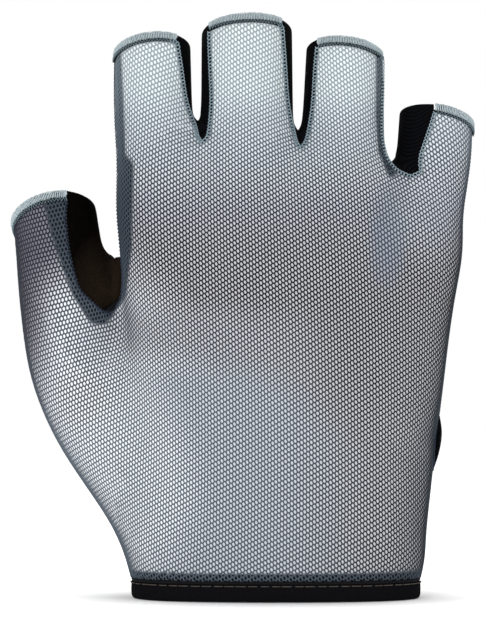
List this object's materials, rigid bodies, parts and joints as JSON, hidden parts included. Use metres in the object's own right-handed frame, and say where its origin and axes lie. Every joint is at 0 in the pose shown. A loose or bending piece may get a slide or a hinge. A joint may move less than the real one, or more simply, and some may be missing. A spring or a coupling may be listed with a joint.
{
  "type": "cycling glove",
  "caption": "Short-finger slip-on cycling glove for the right hand: sheer printed mesh back, suede palm, knit finger sides, overlocked hems and a ribbed wrist binding.",
  "frame": {"origin": "middle of the wrist mouth, on the plane of the cuff's lower edge", "axes": "+Z from the wrist to the fingers, -Y out of the back of the hand, -X towards the thumb"},
  "size_m": [0.1277, 0.0471, 0.1601],
  "materials": {
    "stretch_mesh": "sheer hexagonal net over a pale ground, printed in soft grey and navy bands",
    "suede": "matt microfibre suede, brown-black",
    "ribbed_knit": "black elastic knit with a fine diagonal rib",
    "overlock_thread": "grey-blue overlock stitching",
    "rib_binding": "black ribbed binding with a dashed stitch line"
  },
  "bodies": {
    "root": {"back_panel": "stretch_mesh", "palm_panel": "suede", "fourchette_index_middle": "ribbed_knit", "fourchette_middle_ring": "ribbed_knit", "fourchette_ring_little": "ribbed_knit", "side_tab": "ribbed_knit", "thumb_hem": "overlock_thread", "index_hem": "overlock_thread", "middle_hem": "overlock_thread", "ring_hem": "overlock_thread", "little_hem": "overlock_thread", "wrist_cuff": "rib_binding"}
  },
  "joints": []
}
